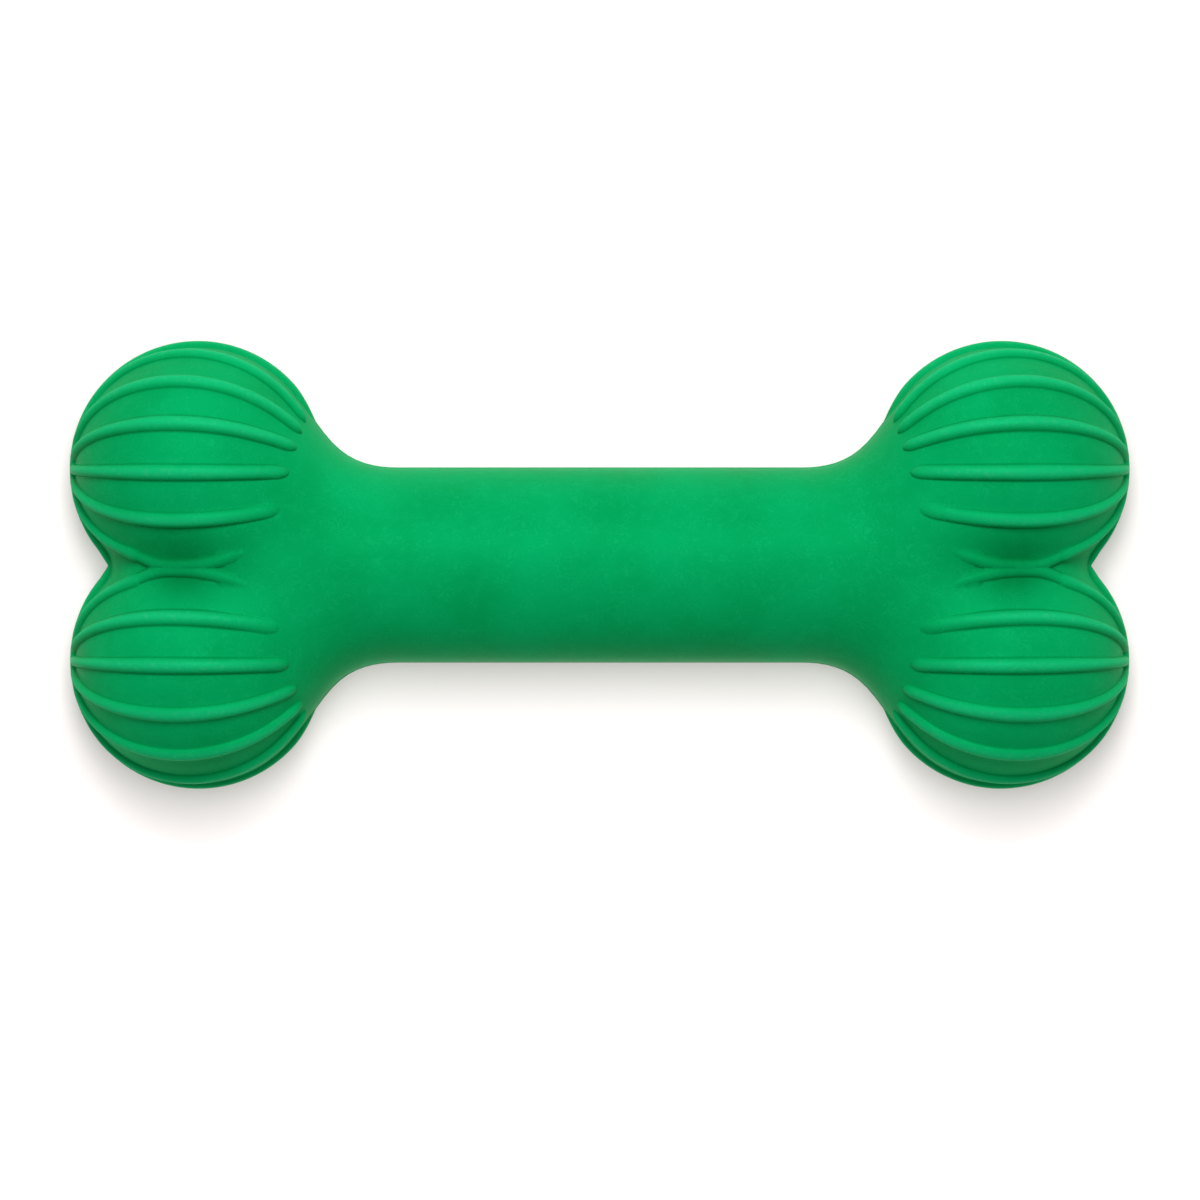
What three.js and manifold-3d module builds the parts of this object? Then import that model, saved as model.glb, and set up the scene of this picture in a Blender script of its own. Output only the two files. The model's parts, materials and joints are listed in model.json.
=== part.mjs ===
// Squeaky dog toy in the shape of a bone: two hollow rubber halves bonded round a small reed squeaker.
// Millimetres. +X runs along the bone, +Y across it and +Z up, from an origin on the ground under its middle.

import * as THREE from 'three';
import { mergeVertices } from 'three/addons/utils/BufferGeometryUtils.js';
import Module from 'manifold-3d';

// Bone: two ball-shaped lobes at each end of a round shaft
const LOBE_SPACING_LONG = 128.4; // between lobe centres, along the bone
const LOBE_SPACING_WIDE = 30.6; // between lobe centres, across the bone
const LOBE_DIAMETER = 39.2; // between the ribs
const SHAFT_DIAMETER = 31;
const SHAFT_CORE_LENGTH = 96; // between the centres of the shaft's ball ends, hidden in the necks
const NECK_BLEND = 12.2; // width over which a lobe flows into the shaft
const VALLEY_BLEND = 4.2; // width over which two lobes flow together

// Ribs: they run over each half of a lobe like meridians, from a pole past the parting plane to its neck
const RIBS_EACH_SIDE = 3; // of the rib along the top of a lobe
const INNER_RIB_PITCH_ANGLE = 22.8; // degrees between ribs, from the top towards the other lobe
const OUTER_RIB_PITCH_ANGLE = 23.4; // degrees between ribs, from the top towards the flank
const RIB_HEIGHT = 0.95;
const RIB_WIDTH = 2.7; // at the foot, where the lobe is widest
const RIB_END_WIDTH = 1.8; // at the foot, towards both ends
const RIB_CREST_WIDTH = 1.2;
const RIB_AXIS_TILT_ANGLE = 11; // degrees by which the outer pole of the ribs lies past the parting plane
const RIB_TIP_ANGLE = 8; // degrees over which a rib's tip runs out
const RIB_SINK = 0.25; // of the rise of the neck over the lobes, by which the ribs sink into it
const RUN_OUT_LEAN_ANGLE = 21; // degrees from square across the bone to the upright plane where ribs end
const RUN_OUT_DEPTH = 13.9; // from a lobe's centre to that plane
const VALLEY_RIB_END_ANGLE = 74; // degrees from the outer pole to the end of the rib next to the valley
const BEAD_DIVE = 0.3; // of its height, by which a bead sinks below the skin at its ends

// Rim bead: it follows the outline of the lobes on the parting plane, as high and wide as a rib
const RIM_END_ANGLE = 163; // degrees from the outer end of a lobe to the tip of the bead on the neck
const RIM_TIP_LENGTH = 9;
const RIM_NOTCH_LENGTH = 3.5; // over which the bead sinks into the notch between two lobes

// Valley beads: one from each lobe, as one along the valley between them, and parted where it opens out.
// Their places along the bone are measured from the lobes' centres.
const VALLEY_BEAD_HEIGHT = 0.65;
const VALLEY_BEAD_START = 12.3; // towards the outer end
const VALLEY_OUTER_PARTING = 4.8; // towards the outer end
const VALLEY_NECK_PARTING = 1.7; // towards the neck
const VALLEY_BEAD_END = 8.7; // towards the neck
const VALLEY_OUTER_SLOPE = 0.38;
const VALLEY_NECK_SLOPE = 0.4;
const VALLEY_TURN = 1.2; // width of the bend where they part
const VALLEY_START_LENGTH = 3; // over which a bead rises out of the lobe's rib
const VALLEY_TIP_LENGTH = 9;

// Shells: the halves meet at mid height, where a tongue on the upper one fits a groove in the lower one
const WALL = 5;
const HOLLOW_BLEND = 12; // width over which the hollows of two lobes flow together
const TONGUE_WIDTH = 1.4;
const TONGUE_HEIGHT = 1.8;
const VENT_DIAMETER = 3;
const REST_FLAT_DEPTH = 0.2; // cut off the lowest ribs, where the rubber lies on the ground
const CLEARANCE = 0.3; // between pieces that fit into each other

// Squeaker: a cup pressed into a socket over the vent, holding a slotted plate, a reed and a cap
const CUP_DIAMETER = 12;
const CUP_HEIGHT = 7;
const CUP_WALL = 1.2;
const CUP_FLOOR = 1.2;
const SOCKET_WALL = 1.6;
const SOCKET_DEPTH = 4;
const SOCKET_ROOT = 1.2; // how far the socket is rooted in the wall under it
const PLATE_LEDGE_WIDTH = 0.8;
const PLATE_LEDGE_HEIGHT = 3.2; // from the underside of the cup
const PLATE_THICKNESS = 1.2;
const REED_WIDTH = 2.8;
const REED_THICKNESS = 0.35;
const REED_OVERLAP = 0.4; // of the reed over the edge of its slot
const CAP_THICKNESS = 1;
const CAP_SKIRT_WALL = 1;
const CAP_HOLE_COUNT = 5;
const CAP_HOLE_DIAMETER = 1.4;

// Fineness of the facets
const RIBBED_LOBE_RINGS = 10;
const PLAIN_LOBE_RINGS = 6;
const PLAIN_LINES = 16;
const NECK_RINGS = 4;
const BARE_LINES = 10; // past the parting plane, from the outermost rib round to the innermost one
const RIM_STEPS = 24;
const VALLEY_STEPS = 10;
const BEAD_SEGMENTS = 8;
const ROUND_SEGMENTS = 24;
const REED_TIP_SEGMENTS = 8;
const SMALL_HOLE_SEGMENTS = 10;
const SKIN_SEARCH_STEPS = 40; // halvings that find where a ray leaves the bone
const GRADIENT_STEP = 1e-3; // over which the slope of the skin is measured
const MERGE_DISTANCE = 1e-5; // vertices nearer than this are one
const SHORTEST_EDGE = 0.01; // that the finished shells keep

// Places that follow from the sizes, measured from the middle of the bone
const LOBE_X = LOBE_SPACING_LONG / 2;
const LOBE_Y = LOBE_SPACING_WIDE / 2;
const LOBE_RADIUS = LOBE_DIAMETER / 2;
const CREST_RADIUS = LOBE_RADIUS + RIB_HEIGHT;
const INNER_RIB_PITCH = THREE.MathUtils.degToRad(INNER_RIB_PITCH_ANGLE);
const OUTER_RIB_PITCH = THREE.MathUtils.degToRad(OUTER_RIB_PITCH_ANGLE);
const RIB_TILT = THREE.MathUtils.degToRad(RIB_AXIS_TILT_ANGLE);
const VALLEY_ANGLE = -Math.asin(LOBE_Y / CREST_RADIUS); // round a lobe's axis, from straight up
const VALLEY_RIB = Math.round(VALLEY_ANGLE / INNER_RIB_PITCH); // next to the valley, counted from the top
const SHAFT_RADIUS = SHAFT_DIAMETER / 2;
const SHAFT_CORE_X = SHAFT_CORE_LENGTH / 2;
const STRAIGHT_X = LOBE_X - LOBE_RADIUS - NECK_BLEND;
const HOLLOW_RADIUS = SHAFT_RADIUS - WALL;
const RIM_BLEND = (VALLEY_BLEND + HOLLOW_BLEND) / 2; // blend half way through the wall
const GROUND_Z = REST_FLAT_DEPTH - CREST_RADIUS;
const SPACE = 2 * (LOBE_SPACING_LONG + LOBE_DIAMETER); // wider than the whole bone
const TRIM = WALL; // how far a half bone reaches past the middle before it is trimmed

const LOBE_CENTRE = new THREE.Vector3(LOBE_X, LOBE_Y, 0);
const SHAFT_END = new THREE.Vector3(STRAIGHT_X, 0, 0);
const AXES = [new THREE.Vector3(1, 0, 0), new THREE.Vector3(0, 1, 0), new THREE.Vector3(0, 0, 1)];
const [, ACROSS, UP] = AXES;
const OUTER_SKIN = { inset: 0, valleyBlend: VALLEY_BLEND };

const CUP_RADIUS = CUP_DIAMETER / 2;
const SOCKET_BORE_RADIUS = CUP_RADIUS + CLEARANCE;
const SEAT_Z = -Math.sqrt(HOLLOW_RADIUS ** 2 - SOCKET_BORE_RADIUS ** 2);
const CUP_BORE_RADIUS = CUP_RADIUS - CUP_WALL;
const PLATE_RADIUS = CUP_BORE_RADIUS - CLEARANCE;
const PLATE_BOTTOM_Z = SEAT_Z + PLATE_LEDGE_HEIGHT;
const PLATE_TOP_Z = PLATE_BOTTOM_Z + PLATE_THICKNESS;
const CUP_TOP_Z = SEAT_Z + CUP_HEIGHT;
const SKIRT_BORE_RADIUS = PLATE_RADIUS - CAP_SKIRT_WALL;
const REED_BOTTOM_Z = PLATE_TOP_Z + CLEARANCE;
const REED_ROOT_X = -(PLATE_RADIUS - CLEARANCE);
const REED_TIP_X = SKIRT_BORE_RADIUS - CLEARANCE;

const rubber = new THREE.MeshStandardMaterial({ color: 0x05ad66, roughness: 0.55, metalness: 0 });
const cupPlastic = new THREE.MeshStandardMaterial({ color: 0xe9e6dc, roughness: 0.4, metalness: 0 });
const reedPlastic = new THREE.MeshStandardMaterial({ color: 0xf4f1e6, roughness: 0.25, metalness: 0 });

const wasm = await Module();
wasm.setup();

/** Closed three.js geometry as a solid that can be joined and cut. */
function toSolid(geometry) {
  const bare = geometry.clone();
  bare.deleteAttribute('normal');
  bare.deleteAttribute('uv');
  const merged = mergeVertices(bare, MERGE_DISTANCE);
  const corners = merged.index.array;
  const kept = [];
  for (let i = 0; i < corners.length; i += 3) {
    const [a, b, c] = corners.slice(i, i + 3);
    if (a !== b && b !== c && c !== a) kept.push(a, b, c);
  }
  const vertProperties = new Float32Array(merged.attributes.position.array);
  return new wasm.Manifold(new wasm.Mesh({ numProp: 3, vertProperties, triVerts: new Uint32Array(kept) }));
}

/** Solid as three.js geometry. */
function toGeometry(solid) {
  const mesh = solid.getMesh();
  const geometry = new THREE.BufferGeometry();
  geometry.setAttribute('position', new THREE.BufferAttribute(mesh.vertProperties, mesh.numProp));
  geometry.setIndex(new THREE.BufferAttribute(mesh.triVerts, 1));
  return geometry;
}

/** Largest body of a solid, without the specks and the very short edges that its cuts leave behind. */
function mainBody(solid) {
  const main = solid.decompose().reduce((best, body) => (body.volume() > best.volume() ? body : best));
  return main.asOriginal().simplify(SHORTEST_EDGE);
}

/** Solid mirrored across one of the middle planes: the sign of that axis is turned round. */
function mirrored(solid, x, y, z) {
  const geometry = toGeometry(solid);
  geometry.scale(x, y, z);
  geometry.index.array.reverse();
  return toSolid(geometry);
}

/** Block that fills all space between two heights. */
function slab(low, high) {
  return toSolid(new THREE.BoxGeometry(SPACE, SPACE, high - low).translate(0, 0, (low + high) / 2));
}

/** Solid turned round the upright axis from a profile of [radius, height] points, in anticlockwise order. */
function turned(profile) {
  const points = profile.map(([radius, height]) => new THREE.Vector2(radius, height));
  return toSolid(new THREE.LatheGeometry(points, ROUND_SEGMENTS).rotateX(Math.PI / 2));
}

/** Upright cylinder between two heights, with its axis at a point of the XY plane. */
function post(radius, low, high, [x, y] = [0, 0], segments = ROUND_SEGMENTS) {
  const cylinder = new THREE.CylinderGeometry(radius, radius, high - low, segments).rotateX(Math.PI / 2);
  return toSolid(cylinder.translate(x, y, (low + high) / 2));
}

/** Smaller of two distances, rounded off where they differ by less than the width of the blend. */
function blended(a, b, width) {
  const share = Math.max(width - Math.abs(a - b), 0) / width;
  return Math.min(a, b) - (share * share * width) / 4;
}

/** Height above the two balls at the nearer end of the bone, blended together. Negative inside. */
function heightOverLobes({ x, y, z }, valleyBlend) {
  const along = Math.abs(x) - LOBE_X;
  const nearLobe = Math.hypot(along, y - LOBE_Y, z) - LOBE_RADIUS;
  const farLobe = Math.hypot(along, y + LOBE_Y, z) - LOBE_RADIUS;
  return blended(nearLobe, farLobe, valleyBlend);
}

/** Height above the bare bone: the lobes and a round-ended shaft, blended together. Negative inside. */
function heightOverBone(point, valleyBlend) {
  const { x, y, z } = point;
  const shaft = Math.hypot(Math.max(Math.abs(x) - SHAFT_CORE_X, 0), y, z) - SHAFT_RADIUS;
  return blended(heightOverLobes(point, valleyBlend), shaft, NECK_BLEND);
}

/** Point where a ray meets the skin inset below the bare bone. Past the middle the skin runs straight on. */
function skinPoint(origin, direction, { inset, valleyBlend }) {
  const towardsMiddle = Math.max(-direction.y, 1 / SPACE);
  let inside = 0;
  let outside = Math.min(SPACE, (origin.y + TRIM) / towardsMiddle);
  const point = new THREE.Vector3();
  for (let step = 0; step < SKIN_SEARCH_STEPS; step += 1) {
    const middle = (inside + outside) / 2;
    point.copy(origin).addScaledVector(direction, middle);
    point.y = Math.max(point.y, 0);
    if (heightOverBone(point, valleyBlend) < -inset) inside = middle;
    else outside = middle;
  }
  return point.copy(origin).addScaledVector(direction, outside);
}

/** Direction from a lobe's centre, by the angle from a tilted outer pole and the angle round that pole. */
function lobeDirection(polar, azimuth, tilt) {
  const aside = Math.sin(polar) * Math.sin(azimuth);
  const above = Math.sin(polar) * Math.cos(azimuth);
  return new THREE.Vector3(Math.cos(polar), aside, above).applyAxisAngle(ACROSS, tilt);
}

/** Half of the angle that a rib takes up round its lobe. It is widest on the top of the lobe. */
function ribHalfAngle(polar) {
  const sine = Math.sin(polar);
  const width = RIB_END_WIDTH + (RIB_WIDTH - RIB_END_WIDTH) * sine ** 4;
  return Math.min(width / (LOBE_DIAMETER * sine), INNER_RIB_PITCH / 2);
}

/** Polar angle at which the ribs run together into a smooth cap. */
function capAngle() {
  return Math.asin(RIB_END_WIDTH / (LOBE_RADIUS * INNER_RIB_PITCH));
}

/** Polar angle at which a line at crest height meets the upright plane where ribs end. */
function runOutAngle(azimuth, tilt) {
  const lean = THREE.MathUtils.degToRad(RUN_OUT_LEAN_ANGLE);
  const withCosine = CREST_RADIUS * Math.cos(tilt) * Math.cos(lean);
  const above = Math.cos(azimuth) * Math.sin(tilt) * Math.cos(lean);
  const withSine = CREST_RADIUS * (above + Math.sin(azimuth) * Math.sin(lean));
  return Math.atan2(withSine, withCosine) + Math.acos(-RUN_OUT_DEPTH / Math.hypot(withSine, withCosine));
}

/** Angle round the lobe of a rib, counted from the top. */
function ribAngle(rib) {
  return rib * (rib < 0 ? INNER_RIB_PITCH : OUTER_RIB_PITCH);
}

/** Polar angle at which a rib ends: at the neck, at a valley bead or at the other lobe's ribs. */
function ribEndAngle(rib) {
  if (rib === VALLEY_RIB) return THREE.MathUtils.degToRad(VALLEY_RIB_END_ANGLE);
  const angle = ribAngle(rib);
  if (angle < VALLEY_ANGLE) return Math.asin(Math.sin(VALLEY_ANGLE) / Math.sin(angle));
  return runOutAngle(angle, RIB_TILT);
}

/** Lines along a rib: a foot and a crest edge on each side of it. */
function linesOfRib(rib) {
  const middle = ribAngle(rib);
  const end = ribEndAngle(rib);
  const crest = RIB_CREST_WIDTH / RIB_WIDTH;
  const section = [[-1, 0], [-crest, RIB_HEIGHT], [crest, RIB_HEIGHT], [1, 0]];
  return section.map(([side, lift]) => ({ middle, side, lift, end }));
}

/** Line over a skin without ribs, at an angle round the lobe. */
function plainLine(middle) {
  return { middle, side: 0, lift: 0, end: 0 };
}

/** Lines round a lobe: those of its ribs, and single lines over bare skin past the parting plane. */
function ribLines() {
  const lines = [];
  for (let rib = -RIBS_EACH_SIDE; rib <= RIBS_EACH_SIDE; rib += 1) lines.push(...linesOfRib(rib));
  const lastRib = ribAngle(RIBS_EACH_SIDE);
  const firstRib = ribAngle(-RIBS_EACH_SIDE) + 2 * Math.PI;
  for (let line = 1; line < BARE_LINES; line += 1) {
    lines.push(plainLine(THREE.MathUtils.lerp(lastRib, firstRib, line / BARE_LINES)));
  }
  return lines;
}

/** Evenly spread lines for a skin without ribs. */
function plainLines() {
  return Array.from({ length: PLAIN_LINES }, (_, line) => plainLine((line * 2 * Math.PI) / PLAIN_LINES));
}

/** Angle round the shaft that a line of the lobe runs on to: the valley leads to the shaft's top. */
function shaftAngle(azimuth) {
  const quarter = Math.PI / 2;
  const towardsFlank = Math.asin(Math.sin(azimuth));
  const outer = (quarter * (towardsFlank - VALLEY_ANGLE)) / (quarter - VALLEY_ANGLE);
  const inner = (quarter * (towardsFlank - VALLEY_ANGLE)) / (quarter + VALLEY_ANGLE);
  const angle = towardsFlank > VALLEY_ANGLE ? outer : inner;
  return Math.cos(azimuth) < 0 ? Math.PI - angle : angle;
}

/** Angle round the lobe of a line at a polar angle. */
function lineAzimuth(line, polar) {
  return line.middle + line.side * ribHalfAngle(polar);
}

/** Point of a line on the lobe, lifted from the skin there. What is lifted sinks where the neck rises. */
function lobePoint(line, polar, lift, skin) {
  const direction = lobeDirection(polar, lineAzimuth(line, polar), skin.tilt);
  const point = skinPoint(LOBE_CENTRE, direction, skin);
  const sunk = RIB_SINK * Math.max(heightOverLobes(point, skin.valleyBlend), 0);
  return point.addScaledVector(direction, Math.max(lift - sunk, 0));
}

/** Points of one line of the skin, from the outer pole over lobe and neck to the straight of the shaft. */
function linePoints(line, skin) {
  const cap = capAngle();
  const runOut = runOutAngle(line.middle, skin.tilt);
  const tip = THREE.MathUtils.degToRad(RIB_TIP_ANGLE);
  const points = [lobePoint(line, cap, skin.capLift, skin)];
  for (let ring = 1; ring <= skin.lobeRings; ring += 1) {
    const polar = THREE.MathUtils.lerp(cap, runOut - tip, ring / skin.lobeRings);
    const share = THREE.MathUtils.clamp((line.end - polar) / tip, 0, 1);
    points.push(lobePoint(line, polar, line.lift * share, skin));
  }
  points.push(lobePoint(line, runOut, 0, skin));

  const azimuth = lineAzimuth(line, runOut);
  const leaving = lobeDirection(runOut, azimuth, skin.tilt);
  const angle = shaftAngle(azimuth);
  const square = new THREE.Vector3(0, Math.sin(angle), Math.cos(angle));
  for (let ring = 1; ring <= NECK_RINGS; ring += 1) {
    const share = ring / NECK_RINGS;
    const origin = LOBE_CENTRE.clone().lerp(SHAFT_END, share);
    origin.y *= 1 - share;
    points.push(skinPoint(origin, leaving.clone().lerp(square, share).normalize(), skin));
  }
  return points;
}

/** Closed solid over rings of points, from a tip before the first ring to a tip after the last one. */
function ringSolid(rings, firstTip, lastTip) {
  const count = rings[0].length;
  const lastRing = (rings.length - 1) * count;
  const first = rings.length * count;
  const last = first + 1;
  const index = [];
  for (let line = 0; line < count; line += 1) {
    const next = (line + 1) % count;
    index.push(first, next, line);
    index.push(last, lastRing + line, lastRing + next);
    for (let ring = 0; ring < lastRing; ring += count) {
      const [a, b, c, d] = [ring + line, ring + next, ring + count + next, ring + count + line];
      index.push(a, b, c, a, c, d);
    }
  }
  const geometry = new THREE.BufferGeometry().setFromPoints([...rings.flat(), firstTip, lastTip]);
  geometry.setIndex(index);
  return toSolid(geometry);
}

/** Bone under a skin: one side of it, trimmed at the middle plane and joined to its mirror image. */
function wholeBone(lines, skin) {
  const columns = lines.map((line) => linePoints(line, skin));
  const rings = columns[0].map((_, ring) => columns.map((points) => points[ring]));
  const opposite = rings.map((ring) => ring.map(({ x, y, z }) => new THREE.Vector3(-x, y, z))).reverse();
  const outward = lobeDirection(0, 0, skin.tilt);
  const pole = LOBE_CENTRE.clone().addScaledVector(outward, LOBE_RADIUS - skin.inset + skin.capLift);
  const oppositePole = new THREE.Vector3(-pole.x, pole.y, pole.z);
  const side = toSolid(new THREE.BoxGeometry(SPACE, SPACE, SPACE).translate(0, SPACE / 2, 0));
  const half = ringSolid([...rings, ...opposite], pole, oppositePole).intersect(side);
  return half.add(mirrored(half, 1, -1, 1));
}

/** Direction in which the height over the bare bone grows, from small steps along the axes. */
function outwardFrom(point) {
  const growth = AXES.map((axis) => {
    const ahead = point.clone().addScaledVector(axis, GRADIENT_STEP);
    const behind = point.clone().addScaledVector(axis, -GRADIENT_STEP);
    return heightOverBone(ahead, VALLEY_BLEND) - heightOverBone(behind, VALLEY_BLEND);
  });
  return new THREE.Vector3(...growth).normalize();
}

/** Round bead along a path on the skin. Where it is as high as a rib, it is also as wide as one. */
function bead(path, heights) {
  const radius = ((RIB_WIDTH / 2) ** 2 + RIB_HEIGHT ** 2) / (2 * RIB_HEIGHT);
  const rings = path.map((point, step) => {
    const before = path[Math.max(step - 1, 0)];
    const after = path[Math.min(step + 1, path.length - 1)];
    const along = after.clone().sub(before);
    const aside = along.clone().cross(outwardFrom(point)).normalize();
    const outward = aside.clone().cross(along).normalize();
    return Array.from({ length: BEAD_SEGMENTS }, (_, segment) => {
      const turn = (segment * 2 * Math.PI) / BEAD_SEGMENTS;
      const lift = radius * Math.cos(turn) - radius + heights[step];
      return point.clone().addScaledVector(outward, lift).addScaledVector(aside, radius * Math.sin(turn));
    });
  });
  const middleOf = (ring) => ring[0].clone().lerp(ring[BEAD_SEGMENTS / 2], 1 / 2);
  return ringSolid(rings, middleOf(rings[0]), middleOf(rings[rings.length - 1]));
}

/** Height of a bead as a share of its full height, which rises from below the skin as a quarter of a sine. */
function swell(share) {
  return (1 + BEAD_DIVE) * Math.sin((Math.min(share, 1) * Math.PI) / 2) - BEAD_DIVE;
}

/** Distance along a path to each of its points. */
function distancesAlong(path) {
  const distances = [0];
  for (let step = 1; step < path.length; step += 1) {
    distances.push(distances[step - 1] + path[step].distanceTo(path[step - 1]));
  }
  return distances;
}

/** Bead round both lobes of an end, on the parting plane. It sinks into the notch and at its tips. */
function rimBead() {
  const start = THREE.MathUtils.degToRad(RIM_END_ANGLE);
  const half = Array.from({ length: RIM_STEPS + 1 }, (_, step) => {
    const bearing = THREE.MathUtils.lerp(start, VALLEY_ANGLE, step / RIM_STEPS);
    return skinPoint(LOBE_CENTRE, new THREE.Vector3(Math.cos(bearing), Math.sin(bearing), 0), OUTER_SKIN);
  });
  half[RIM_STEPS].y = 0;
  const otherHalf = half.slice(0, -1).reverse().map(({ x, y }) => new THREE.Vector3(x, -y, 0));
  const path = [...half, ...otherHalf];
  const travelled = distancesAlong(path);
  const total = travelled[path.length - 1];
  const heights = path.map(({ y }, step) => {
    const fromTip = Math.min(travelled[step], total - travelled[step]) / RIM_TIP_LENGTH;
    return RIB_HEIGHT * swell(Math.min(fromTip, Math.abs(y) / RIM_NOTCH_LENGTH));
  });
  return bead(path, heights);
}

/** Bead along the valley, from a rib of one lobe to the neck. */
function valleyBead() {
  const path = Array.from({ length: VALLEY_STEPS + 1 }, (_, step) => {
    const along = THREE.MathUtils.lerp(VALLEY_BEAD_START, -VALLEY_BEAD_END, step / VALLEY_STEPS);
    const towardsEnd = blended(VALLEY_OUTER_SLOPE * (VALLEY_OUTER_PARTING - along), 0, VALLEY_TURN);
    const towardsNeck = blended(VALLEY_NECK_SLOPE * (along + VALLEY_NECK_PARTING), 0, VALLEY_TURN);
    const origin = new THREE.Vector3(LOBE_X + along, -towardsEnd - towardsNeck, 0);
    return skinPoint(origin, UP, OUTER_SKIN);
  });
  const travelled = distancesAlong(path);
  const heights = travelled.map((distance) => {
    const fromTip = (travelled[VALLEY_STEPS] - distance) / VALLEY_TIP_LENGTH;
    return VALLEY_BEAD_HEIGHT * swell(Math.min(distance / VALLEY_START_LENGTH, fromTip));
  });
  return bead(path, heights);
}

/** Outside of the toy above the parting plane, with its ribs and beads. */
function ribbedHalf() {
  const skin = { ...OUTER_SKIN, lobeRings: RIBBED_LOBE_RINGS, capLift: RIB_HEIGHT, tilt: RIB_TILT };
  const inValley = valleyBead();
  const beads = rimBead().add(inValley).add(mirrored(inValley, 1, -1, 1));
  const bone = wholeBone(ribLines(), skin).add(beads).add(mirrored(beads, -1, 1, 1));
  return bone.intersect(slab(0, SPACE));
}

/** Skin inside the wall, without ribs. */
function plainSkin(inset, valleyBlend) {
  return { inset, valleyBlend, lobeRings: PLAIN_LOBE_RINGS, capLift: 0, tilt: 0 };
}

/** Outline at mid height of a skin inside the wall, as points for one quarter repeated round the bone. */
function rimOutline(inset) {
  const skin = plainSkin(inset, RIM_BLEND);
  const notch = skinPoint(new THREE.Vector3(LOBE_X, 0, 0), new THREE.Vector3(1, 0, 0), skin).x;
  const inner = linePoints(plainLine(-Math.PI / 2), skin).filter(({ y }) => y > 0);
  const outer = linePoints(plainLine(Math.PI / 2), skin);
  const quarter = [...inner.reverse(), ...outer].map(({ x, y }) => [x, y]);
  const back = quarter.map(([x, y]) => [-x, y]).reverse();
  const side = [[notch, 0], ...quarter, ...back, [-notch, 0]];
  const otherSide = [...quarter, ...back].map(([x, y]) => [-x, -y]);
  return [...side, ...otherSide].map(([x, y]) => new THREE.Vector2(x, y));
}

/** Band round the rim, in the middle of the wall, from a depth below the parting plane to a height above. */
function rimBand(spread, depth, height) {
  const band = new THREE.Shape(rimOutline((WALL - TONGUE_WIDTH) / 2 - spread));
  band.holes.push(new THREE.Path(rimOutline((WALL + TONGUE_WIDTH) / 2 + spread)));
  const geometry = new THREE.ExtrudeGeometry(band, { depth: depth + height, bevelEnabled: false });
  return toSolid(geometry.translate(0, 0, -depth));
}

/** Upper half of the toy, with the tongue round its rim. */
function upperShell(outside, hollow) {
  const tongue = rimBand(0, TONGUE_HEIGHT, TONGUE_WIDTH);
  return mainBody(outside.subtract(hollow).add(tongue));
}

/** Collar and seat for the squeaker, rooted in the wall under it. */
function squeakerSocket() {
  const outerRadius = SOCKET_BORE_RADIUS + SOCKET_WALL;
  const root = -(HOLLOW_RADIUS + SOCKET_ROOT);
  const top = SEAT_Z + SOCKET_DEPTH;
  return turned([
    [0, root],
    [outerRadius, root],
    [outerRadius, top],
    [SOCKET_BORE_RADIUS, top],
    [SOCKET_BORE_RADIUS, SEAT_Z],
    [0, SEAT_Z],
  ]);
}

/** Lower half of the toy, with the groove in its rim, flats to lie on, the squeaker's socket and the vent. */
function lowerShell(outside, hollow) {
  const groove = rimBand(CLEARANCE, TONGUE_HEIGHT + CLEARANCE, TONGUE_WIDTH);
  const vent = post(VENT_DIAMETER / 2, -SPACE, 0);
  const half = mirrored(outside, 1, 1, -1).intersect(slab(GROUND_Z, SPACE)).subtract(hollow).subtract(groove);
  return mainBody(half.add(squeakerSocket()).subtract(vent));
}

/** Cup with a vent in its floor and a ledge for the plate. */
function squeakerCup() {
  const ledgeRadius = CUP_BORE_RADIUS - PLATE_LEDGE_WIDTH;
  const ventRadius = VENT_DIAMETER / 2;
  const floorTop = SEAT_Z + CUP_FLOOR;
  return turned([
    [ventRadius, SEAT_Z],
    [CUP_RADIUS, SEAT_Z],
    [CUP_RADIUS, CUP_TOP_Z],
    [CUP_BORE_RADIUS, CUP_TOP_Z],
    [CUP_BORE_RADIUS, PLATE_BOTTOM_Z],
    [ledgeRadius, PLATE_BOTTOM_Z],
    [ledgeRadius, floorTop],
    [ventRadius, floorTop],
    [ventRadius, SEAT_Z],
  ]);
}

/** Flat strip along X with a round tip, between two heights. */
function strip(rootX, tipX, width, low, high) {
  const radius = width / 2;
  const outline = new THREE.Shape();
  outline.moveTo(rootX, -radius);
  outline.lineTo(tipX - radius, -radius);
  outline.absarc(tipX - radius, 0, radius, -Math.PI / 2, Math.PI / 2);
  outline.lineTo(rootX, radius);
  outline.closePath();
  const extent = { depth: high - low, bevelEnabled: false, curveSegments: REED_TIP_SEGMENTS };
  return toSolid(new THREE.ExtrudeGeometry(outline, extent).translate(0, 0, low));
}

/** Plate on the cup's ledge, with the slot that the reed covers. */
function reedPlate() {
  const slotRoot = -SKIRT_BORE_RADIUS + REED_OVERLAP;
  const slotTip = REED_TIP_X - REED_OVERLAP;
  const slot = strip(slotRoot, slotTip, REED_WIDTH - 2 * REED_OVERLAP, SEAT_Z, CUP_TOP_Z);
  return post(PLATE_RADIUS, PLATE_BOTTOM_Z, PLATE_TOP_Z).subtract(slot);
}

/** Reed over the slot, held at its root under the cap's skirt. */
function squeakerReed() {
  return strip(REED_ROOT_X, REED_TIP_X, REED_WIDTH, REED_BOTTOM_Z, REED_BOTTOM_Z + REED_THICKNESS);
}

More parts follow.
